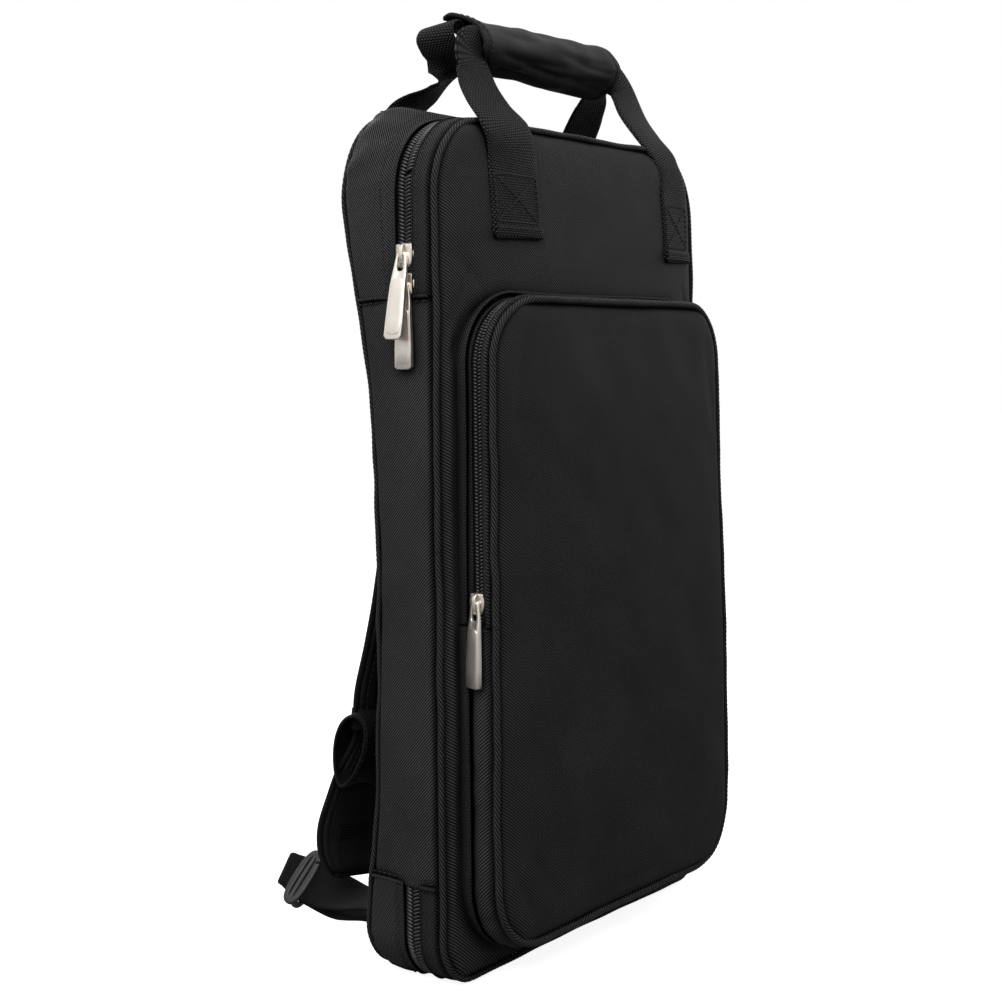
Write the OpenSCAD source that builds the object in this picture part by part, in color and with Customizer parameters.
// Drum stick bag: a flat rectangular soft case that opens like a book.
// Frame: millimetres, +Z up, +Y towards the wearer's back, front face at -Y, left at -X.
// Origin: centre of the body's flat underside.

/* [Body] */
// Width of the body across the front
body_w = 256; // [200:1:320]
// Height of the body without the handles
body_h = 470; // [400:1:520]
// Depth of the body without the front pocket
body_d = 62; // [50:1:90]
// Corner radius at the top of the body
r_top = 42; // [30:1:60]
// Corner radius at the bottom of the body
r_bot = 28; // [20:1:50]
// Radius of the piping cord round both edges
pipe_r = 2.2; // [1.5:0.1:3]
// Thickness of the gusset cloth with its foam
gusset_t = 1.9; // [1.2:0.1:2.4]

/* [Main zip] */
// Distance of the zip line from the middle of the depth, towards the front
zip_y = -12; // [-14:0.5:-8]
// Height of the seam where the zip ends above the fabric hinge
seam_top = 370; // [340:1:372]
// Height of the seam where the zip ends below the fabric hinge
seam_bot = 56; // [45:1:90]
// Height of the lower slider's centre
slider_lo_z = 378; // [378:1:385]
// Height of the upper slider's centre
slider_up_z = 394; // [394:1:402]
// Outward lean of the upper puller, which lies over the lower slider
puller_lean = 14; // [13.5:0.5:20]

/* [Front pocket] */
// Width of the front pocket
pocket_w = 228; // [180:1:236]
// Depth the pocket stands off the front face
pocket_d = 28; // [24:1:34]
// Height of the pocket's lower edge
pocket_z0 = 19; // [12:1:40]
// Height of the pocket's upper edge
pocket_z1 = 371; // [300:1:380]
// Corner radius of the pocket
pocket_r = 37; // [25:1:50]
// Height of the line the pocket flap folds on
flap_z = 195; // [150:1:240]
// Height of the pocket slider's centre
pocket_slider_z = 208; // [205:1:250]

/* [Handles] */
// Height of the middle of the grip
grip_z = 522; // [515:1:535]
// Half length of the grip wrap
grip_half = 65; // [50:1:68]
// Sideways place of the front handle and its wrap
handle_x = 14; // [0:1:14]
// Outer radius of the grip wrap
grip_r = 16; // [15.5:0.1:18]
// Width of the bag handle webbing
web_w = 34; // [25:1:38]

/* [Shoulder straps] */
// Width of a shoulder pad
pad_w = 48; // [40:1:60]
// Thickness of a shoulder pad
pad_t = 10; // [6:0.5:14]
// Outward slant of the straps in degrees
strap_slant = 9.7; // [0:0.1:12]
// Width of the adjustable strap webbing
tail_w = 25; // [20:1:30]

/* [Hidden] */

// Colours
cloth = [0.09, 0.09, 0.10];
cord = [0.13, 0.13, 0.14];
foam = [0.22, 0.22, 0.23];
lining = [0.16, 0.16, 0.17];
coil = [0.05, 0.05, 0.055];
tape = [0.07, 0.07, 0.075];
webbing = [0.07, 0.07, 0.07];
metal = [0.72, 0.70, 0.66];
plastic = [0.20, 0.20, 0.22];

// Planes across the depth
front_y = -body_d / 2;
back_y = body_d / 2;
pocket_face_y = front_y - pocket_d;
pocket_zip_y = front_y - 15;

gap = 0.1; // clearance between neighbouring pieces
web_t = 2; // thickness of webbing
cord_room = 4.5; // kept free for the piping cord, in from an edge and in from a face

// Layers as [start, end] depths in from a face; negative depths lie outside it
skin_layer = [0.4, 1.6];
foam_layer = [1.7, 4.7];
lining_layer = [4.8, 5.4];
sewn_on_layer = [-gap - web_t, -gap];
pocket_skin_layer = [0.4, 1.9];
pocket_lining_layer = [2, 2.6];

// Rings as [outer, inner] insets from the body's or the pocket's outline
gusset_ring = [0, gusset_t];
gusset_lining_ring = [gusset_t + gap, 2.6];
coil_ring = [0.5, 2.6];
tape_ring = [2.7, 3.5];

// Distances from a zip's middle plane
coil_near = 0.5;
coil_far = 3.2;
tape_near = 3.3;
gusset_near = 6;
pocket_coil_near = 0.4;
pocket_coil_far = 2.4;
pocket_tape_near = 2.5;
pocket_gusset_near = 4.7;

fold_gap = 0.4; // from the flap's fold line to the cloth on either side
coil_start_top = 436; // upper end of the coil's separate first length
cord_join_z = 240; // where the upper and lower halves of a body cord meet

sides = [-1, 1]; // left, right
tab_x = 76; // handle tabs, out from their handle's middle
tail_x = 96; // strap tails and their anchors, out from the middle

// Outlines in X-Z

function arc(x, z, radius, from, to, steps) =
    [for (i = [0:steps]) let (a = from + (to - from) * i / steps)
        [x + radius * cos(a), z + radius * sin(a)]];
function rounded(width, low, high, top_r, low_r, steps = 9) = concat(
    arc(width / 2 - top_r, high - top_r, top_r, 0, 90, steps),
    arc(-width / 2 + top_r, high - top_r, top_r, 90, 180, steps),
    arc(-width / 2 + low_r, low + low_r, low_r, 180, 270, steps),
    arc(width / 2 - low_r, low + low_r, low_r, 270, 360, steps));
function body_outline(inset) =
    rounded(body_w - 2 * inset, inset, body_h - inset, r_top - inset, r_bot - inset);
function pocket_outline(inset) = rounded(pocket_w - 2 * inset,
    pocket_z0 + inset, pocket_z1 - inset, pocket_r - inset, pocket_r - inset);
// Closes the points of a +X half with their mirror image
function mirrored(half) =
    concat(half, [for (i = [len(half) - 1:-1:0]) [-half[i][0], half[i][1]]]);

// Slabs

// Between two Y planes, from an X-Z outline
module y_slab(y0, y1)
    translate([0, y1, 0]) rotate([90, 0, 0]) linear_extrude(height = y1 - y0) children();
// Between two X planes, from a Y-Z outline
module x_slab(x0, x1)
    translate([x0, 0, 0]) rotate([90, 0, 90]) linear_extrude(height = x1 - x0) children();
// A layer measured inwards from the body's front or back, or from the pocket's face
module in_from_front(layer) y_slab(front_y + layer[0], front_y + layer[1]) children();
module in_from_back(layer) y_slab(back_y - layer[1], back_y - layer[0]) children();
module in_from_pocket(layer)
    y_slab(pocket_face_y + layer[0], pocket_face_y + layer[1]) children();

// Rings and the parts kept of them

module body_ring(ring) difference() {
    polygon(body_outline(ring[0]));
    polygon(body_outline(ring[1]));
}
module pocket_ring(ring) difference() {
    polygon(pocket_outline(ring[0]));
    polygon(pocket_outline(ring[1]));
}
// Covers the body's left side between two heights
module left_block(z0, z1) translate([-body_w / 2 - 5, z0]) square([22, z1 - z0]);
// The body ring without the fabric hinge's stretch
module zipped_ring(ring, top = seam_top) difference() {
    body_ring(ring);
    left_block(seam_bot, top);
}
module left_ring(ring, z0, z1) intersection() {
    body_ring(ring);
    left_block(z0, z1);
}
module keep_above(z) intersection() {
    children();
    translate([-200, z]) square([400, 400]);
}
module keep_below(z) intersection() {
    children();
    translate([-200, z - 400]) square([400, 400]);
}

// Piping: round cord following a rounded rectangle, in an upper and a lower half

module cord_side(x, z0, z1, y)
    translate([x, y, z0]) cylinder(r = pipe_r, h = z1 - z0, $fn = 32);
module cord_bar(x0, x1, z, y)
    translate([x0, y, z]) rotate([0, 90, 0]) cylinder(r = pipe_r, h = x1 - x0, $fn = 32);
// Quarters count from the upper right, by way of the upper left
module cord_corner(x, z, radius, quarter, y)
    translate([x, y, z]) rotate([90, 0, 0]) rotate([0, 0, 90 * quarter])
        rotate_extrude(angle = 90, $fn = 64) translate([radius, 0]) circle(r = pipe_r, $fn = 32);
module cord_top(width, high, radius, end_z, y) {
    x = width / 2;
    cord_bar(-x + radius, x - radius, high - pipe_r, y);
    cord_corner(x - radius, high - radius, radius - pipe_r, 0, y);
    cord_corner(-x + radius, high - radius, radius - pipe_r, 1, y);
    cord_side(x - pipe_r, end_z, high - radius, y);
    cord_side(-x + pipe_r, end_z, high - radius, y);
}
module cord_bottom(width, low, radius, end_z, y) {
    x = width / 2;
    cord_bar(-x + radius, x - radius, low + pipe_r, y);
    cord_corner(-x + radius, low + radius, radius - pipe_r, 2, y);
    cord_corner(x - radius, low + radius, radius - pipe_r, 3, y);
    cord_side(x - pipe_r, low + radius, end_z, y);
    cord_side(-x + pipe_r, low + radius, end_z, y);
}
module body_cord(y) union() {
    cord_top(body_w, body_h, r_top, cord_join_z, y);
    cord_bottom(body_w, 0, r_bot, cord_join_z, y);
}

// Back shell

module back_panel_outer() color(cloth) in_from_back(skin_layer) polygon(body_outline(cord_room));
module back_panel_foam() color(foam) in_from_back(foam_layer) polygon(body_outline(cord_room));
module back_panel_lining()
    color(lining) in_from_back(lining_layer) polygon(body_outline(cord_room));
module back_piping() color(cord) body_cord(back_y - pipe_r);
module rear_gusset()
    color(cloth) y_slab(zip_y + gusset_near, back_y - cord_room) zipped_ring(gusset_ring);
module rear_gusset_lining()
    color(lining) y_slab(zip_y + gusset_near, back_y - 5.5) body_ring(gusset_lining_ring);
module side_hinge_panel_rear() color(cloth) y_slab(zip_y - 3, back_y - cord_room)
    left_ring(gusset_ring, seam_bot + gap, seam_top - gap);
module main_zip_tape_rear()
    color(tape) y_slab(zip_y + tape_near, zip_y + 13) zipped_ring(tape_ring);
module main_zip_coil_rear()
    color(coil) y_slab(zip_y + coil_near, zip_y + coil_far) zipped_ring(coil_ring);
// First length of the front coil row, next to the sliders' parking place
module main_zip_coil_start() color(coil) y_slab(zip_y - coil_far, zip_y - coil_near)
    left_ring(coil_ring, seam_top + gap, coil_start_top);
// Flat sleeve with five stick channels, open at the top
module inner_stick_sleeve() {
    pitch = 38;
    channel_w = 35;
    color(lining) difference() {
        in_from_back([5.5, 9.5]) polygon(rounded(196, 20, 320, 8, 12));
        for (k = [-2:2]) in_from_back([5, 8.5])
            translate([k * pitch - channel_w / 2, 24]) square([channel_w, 310]);
    }
}
module strap_top_anchor()
    color(webbing) in_from_back(sewn_on_layer) polygon(rounded(112, 430, 462, 5, 5, 4));
module strap_lower_anchors() color(webbing) for (side = sides) translate([side * tail_x, 0, 0])
    in_from_back(sewn_on_layer) polygon(rounded(34, 8, 38, 3, 3, 3));

// Box-stitched end of a handle strap
module handle_tab(side)
    translate([side * tab_x, 0]) polygon(rounded(web_w, 404, 469.3, 1, 2, 2));
module rear_handle_tabs()
    color(webbing) for (side = sides) in_from_back(sewn_on_layer) handle_tab(side);
module back_cushion()
    color(cloth) in_from_back([-4.8, -gap]) polygon(rounded(206, 46, 196, 22, 22, 6));

// Front cover

module front_panel_outer()
    color(cloth) in_from_front(skin_layer) polygon(body_outline(cord_room));
module front_panel_foam() color(foam) in_from_front(foam_layer) polygon(body_outline(cord_room));
module front_panel_lining()
    color(lining) in_from_front(lining_layer) polygon(body_outline(cord_room));
module front_piping() color(cord) body_cord(front_y + pipe_r);
module front_gusset()
    color(cloth) y_slab(front_y + cord_room, zip_y - gusset_near) zipped_ring(gusset_ring);
module side_hinge_panel_front() color(cloth) y_slab(front_y + cord_room, zip_y - 3.6)
    left_ring(gusset_ring, seam_bot + gap, seam_top - gap);
module main_zip_tape_front()
    color(tape) y_slab(zip_y - 12.8, zip_y - tape_near) zipped_ring(tape_ring);
module main_zip_coil_front() color(coil) y_slab(zip_y - coil_far, zip_y - coil_near)
    zipped_ring(coil_ring, coil_start_top + 0.2);
module front_handle_tabs() color(webbing) translate([handle_x, 0, 0])
    for (side = sides) in_from_front(sewn_on_layer) handle_tab(side);
// Flat pocket inside the cover, open at the top
module inner_mesh_pocket() color(lining) difference() {
    in_from_front([5.5, 8.5]) polygon(rounded(190, 110, 300, 8, 14));
    in_from_front([5, 7.7]) polygon(rounded(182, 114, 320, 1, 12));
}

// Front pocket on the cover

module pocket_base_strip() color(cloth) y_slab(pocket_zip_y + pocket_gusset_near, front_y - gap)
    keep_above(flap_z) pocket_ring(gusset_ring);
module pocket_gusset_lower() color(cloth) y_slab(pocket_face_y + cord_room, front_y - gap)
    keep_below(flap_z - fold_gap) pocket_ring(gusset_ring);
module pocket_panel_lower() color(cloth) in_from_pocket(pocket_skin_layer)
    keep_below(flap_z - fold_gap) polygon(pocket_outline(cord_room));
module pocket_lining_lower() color(lining) in_from_pocket(pocket_lining_layer)
    keep_below(flap_z - fold_gap) polygon(pocket_outline(cord_room));
module pocket_piping_lower() color(cord) union()
    cord_bottom(pocket_w, pocket_z0, pocket_r, flap_z - fold_gap, pocket_face_y + pipe_r);
module pocket_zip_tape_base() color(tape) y_slab(pocket_zip_y + pocket_tape_near, front_y - 1)
    keep_above(flap_z + gap) pocket_ring(tape_ring);
module pocket_zip_coil_base() color(coil)
    y_slab(pocket_zip_y + pocket_coil_near, pocket_zip_y + pocket_coil_far)
        keep_above(flap_z + gap) pocket_ring(coil_ring);

// Pocket flap, the upper part of the pocket's face

module pocket_panel_flap() color(cloth) in_from_pocket(pocket_skin_layer)
    keep_above(flap_z + fold_gap) polygon(pocket_outline(cord_room));
module pocket_lining_flap() color(lining) in_from_pocket(pocket_lining_layer)
    keep_above(flap_z + fold_gap) polygon(pocket_outline(cord_room));
module pocket_piping_flap() color(cord) union()
    cord_top(pocket_w, pocket_z1, pocket_r, flap_z + fold_gap, pocket_face_y + pipe_r);
module pocket_flap_rim() color(cloth)
    y_slab(pocket_face_y + cord_room, pocket_zip_y - pocket_gusset_near)
        keep_above(flap_z + fold_gap) pocket_ring(gusset_ring);
module pocket_zip_tape_flap() color(tape)
    y_slab(pocket_face_y + 4.6, pocket_zip_y - pocket_tape_near)
        keep_above(flap_z + fold_gap) pocket_ring(tape_ring);
module pocket_zip_coil_flap() color(coil)
    y_slab(pocket_zip_y - pocket_coil_far, pocket_zip_y - pocket_coil_near)
        keep_above(flap_z + fold_gap) pocket_ring(coil_ring);

// Sliders and pullers. face_x is the cloth face they ride on and -X points outwards.

puller_l = 44;
// Half outlines of the plates: [share of the half width, share of the length]
outer_plate = [[0.72, -0.5], [0.8, -0.2], [1, 0.15], [1, 0.36], [0.72, 0.5]];
inner_plate = [[0.72, -0.5], [1, 0.15], [1, 0.36], [0.72, 0.5]];
// Bridge outline: [x, z]
bridge = [
    [-1.4, -5], [-3.5, -4.3], [-4.4, -2.6], [-4.4, 2.6], [-3.5, 4.3], [-1.4, 5],
    [-1.4, 3.3], [-2.9, 3], [-3.35, 2], [-3.35, -2], [-2.9, -3], [-1.4, -3.3]
];
function plate(half, length, half_w) =
    mirrored([for (p = half) [p[0] * half_w, p[1] * length]]);

module slider(face_x, y, z, length, half_w) translate([face_x, y, z]) union() {
    x_slab(-1.5, 0.3) polygon(plate(outer_plate, length, half_w));
    x_slab(3.7, 5) polygon(plate(inner_plate, length, half_w));
    // divider between the coil rows
    translate([0.2, -0.25, length * 0.12]) cube([3.6, 0.5, length * 0.32]);
    // bridge over the puller's bar
    y_slab(-1.1, 1.1) polygon(bridge);
}
module puller(face_x, y, z, tilt) {
    end = -puller_l;
    translate([face_x - 2.45, y, z]) rotate([0, tilt, 0]) union() {
        // bar under the slider's bridge
        translate([0, 3, 0]) rotate([90, 0, 0]) cylinder(r = 0.7, h = 6, $fn = 24);
        difference() {
            x_slab(-0.7, 0.7) difference() {
                polygon(mirrored([[3.4, end], [5, end + 0.8], [5.8, end + 3],
                    [4.2, -12], [3.4, -8], [3, 0]]));
                translate([-1.5, -7]) square([3, 8]);
            }
            // recess inside the raised rim
            x_slab(-1, -0.4) polygon(mirrored([[3.6, end + 2.2], [4.4, end + 4], [3, -14]]));
        }
    }
}
module main_slider(z) color(metal) slider(-body_w / 2, zip_y, z, length = 14.5, half_w = 5.5);
module main_slider_upper() main_slider(slider_up_z);
module main_slider_lower() main_slider(slider_lo_z);
module pocket_slider() color(metal)
    slider(-pocket_w / 2, pocket_zip_y, pocket_slider_z, length = 13, half_w = 4.3);
module main_puller_upper() color(metal) puller(-body_w / 2, zip_y, slider_up_z, puller_lean);
module main_puller_lower() color(metal) puller(-body_w / 2, zip_y, slider_lo_z, 0);
module pocket_puller() color(metal) puller(-pocket_w / 2, pocket_zip_y, pocket_slider_z, 0);

// Handles: each strap leaves the body's top edge at a pivot line and leans inwards
// until both straps run side by side inside the grip.

pivot_y = 32.3;
pivot_z = 470.5;
bar_y = 6; // each strap's distance from the middle plane at grip height
handle_lean = atan((pivot_y - bar_y) / (grip_z - pivot_z));
bar_rise = norm([pivot_y - bar_y, grip_z - pivot_z]); // pivot to grip, along the strap
bar_half = 8; // half the strap's width in the grip

// +X half of a strap: [x, distance from the pivot]
handle_half = [
    [66, bar_rise + bar_half], [75, bar_rise + 5], [84, 55], [91, 42], [94, 26], [94, 1.2],
    [60, 1.2], [61, 20], [66, 38], [66, bar_rise - bar_half]
];
module handle_arch() y_slab(-web_t / 2, web_t / 2) polygon(mirrored(handle_half));
module front_handle_webbing() color(webbing)
    translate([handle_x, -pivot_y, pivot_z]) rotate([-handle_lean, 0, 0]) handle_arch();
module rear_handle_webbing() color(webbing)
    translate([0, pivot_y, pivot_z]) rotate([handle_lean, 0, 0]) handle_arch();
// Padded wrap round both straps, cut open at the rear
module handle_grip_wrap() color(cloth)
    x_slab(handle_x - grip_half, handle_x + grip_half) difference() {
        translate([0, grip_z]) circle(r = grip_r, $fn = 64);
        translate([0, grip_z]) circle(r = 13.5, $fn = 64);
        translate([7, grip_z - 30]) square([30, 60]);
    }

// Shoulder straps: a padded strap from the top anchor, a keeper round it, a doubled
// webbing tail from the lower corner and a flat adjuster buckle on the tail.

strap_x = 32; // pads' place at the slant's pivot, out from the middle
slant_z = 440; // height of the slant's pivot
buckle_tilt = 13;
slot_w = 2.7; // width of a buckle slot and its distance from the centre

// Centre lines: [y, z]
pad_path = [
    [38.5, 447], [38.6, 440], [38.9, 400], [39.4, 340], [40.4, 280], [42.8, 210],
    [46, 170], [50, 144], [54.2, 120], [62.2, 76], [64.5, 52.5]
];
keeper_path = [[55.29, 114], [61.11, 82]];
keeper_hole_path = [[54.93, 116], [61.47, 80]];
end_path = [[64.3, 52], [66.6, 45], [71.5, 40], [79.5, 38.2]];
tail_bend = [[50, 22], [62, 22.9], [72, 25]];
tail_path = concat([[34.8, 22]], tail_bend, [[118, 35.62]]);
tail_hollow_path = concat([[34, 22]], tail_bend, [[115.9, 35.13]]);
tail_hollow = 1.7; // half the space between the tail's two layers

// Unit normal of a path at point i
function normal(path, i) =
    let (d = path[min(i + 1, len(path) - 1)] - path[max(i - 1, 0)]) [-d[1], d[0]] / norm(d);
// Outline reaching half_t to each side of a path
function band(path, half_t) = concat(
    [for (i = [0:len(path) - 1]) path[i] - normal(path, i) * half_t],
    [for (i = [len(path) - 1:-1:0]) path[i] + normal(path, i) * half_t]);
module strap(path, half_w, half_t) x_slab(-half_w, half_w) polygon(band(path, half_t));
module slanted(side) translate([side * strap_x, 0, slant_z])
    rotate([0, -side * strap_slant, 0]) translate([0, 0, -slant_z]) children();

module pad(side) color(cloth) slanted(side) strap(pad_path, pad_w / 2, pad_t / 2);
module keeper(side) color(webbing) slanted(side) difference() {
    strap(keeper_path, pad_w / 2 + 2.2, pad_t / 2 + 2.3);
    strap(keeper_hole_path, pad_w / 2 + 0.5, pad_t / 2 + 0.6);
}
module end_webbing(side) color(webbing) slanted(side) strap(end_path, tail_w / 2, web_t / 2);
module tail(side) color(webbing) translate([side * tail_x, 0, 0])
    x_slab(-tail_w / 2, tail_w / 2) difference() {
        polygon(band(tail_path, tail_hollow + web_t));
        polygon(band(tail_hollow_path, tail_hollow));
    }
module buckle(side) color(plastic)
    translate([side * tail_x, 102, 31.93]) rotate([buckle_tilt, 0, 0]) difference() {
        y_slab(-2, 2) polygon(rounded(42, -8.5, 8.5, 8, 8, 6));
        for (z = [-slot_w, slot_w]) y_slab(-3, 3)
            translate([-tail_w / 2 - 0.6, z - slot_w / 2]) square([tail_w + 1.2, slot_w]);
    }
module strap_pad_left() pad(-1);
module strap_keeper_left() keeper(-1);
module strap_end_webbing_left() end_webbing(-1);
module strap_tail_left() tail(-1);
module strap_buckle_left() buckle(-1);
module strap_pad_right() pad(1);
module strap_keeper_right() keeper(1);
module strap_end_webbing_right() end_webbing(1);
module strap_tail_right() tail(1);
module strap_buckle_right() buckle(1);

back_panel_outer();
back_panel_foam();
back_panel_lining();
back_piping();
rear_gusset();
rear_gusset_lining();
side_hinge_panel_rear();
main_zip_tape_rear();
main_zip_coil_rear();
main_zip_coil_start();
inner_stick_sleeve();
strap_top_anchor();
strap_lower_anchors();
rear_handle_tabs();
back_cushion();
front_panel_outer();
front_panel_foam();
front_panel_lining();
front_piping();
front_gusset();
side_hinge_panel_front();
main_zip_tape_front();
main_zip_coil_front();
pocket_base_strip();
pocket_gusset_lower();
pocket_panel_lower();
pocket_lining_lower();
pocket_piping_lower();
pocket_zip_tape_base();
pocket_zip_coil_base();
front_handle_tabs();
inner_mesh_pocket();
pocket_panel_flap();
pocket_lining_flap();
pocket_piping_flap();
pocket_flap_rim();
pocket_zip_tape_flap();
pocket_zip_coil_flap();
main_slider_upper();
main_slider_lower();
pocket_slider();
main_puller_upper();
main_puller_lower();
pocket_puller();
front_handle_webbing();
handle_grip_wrap();
rear_handle_webbing();
strap_pad_left();
strap_keeper_left();
strap_end_webbing_left();
strap_tail_left();
strap_buckle_left();
strap_pad_right();
strap_keeper_right();
strap_end_webbing_right();
strap_tail_right();
strap_buckle_right();
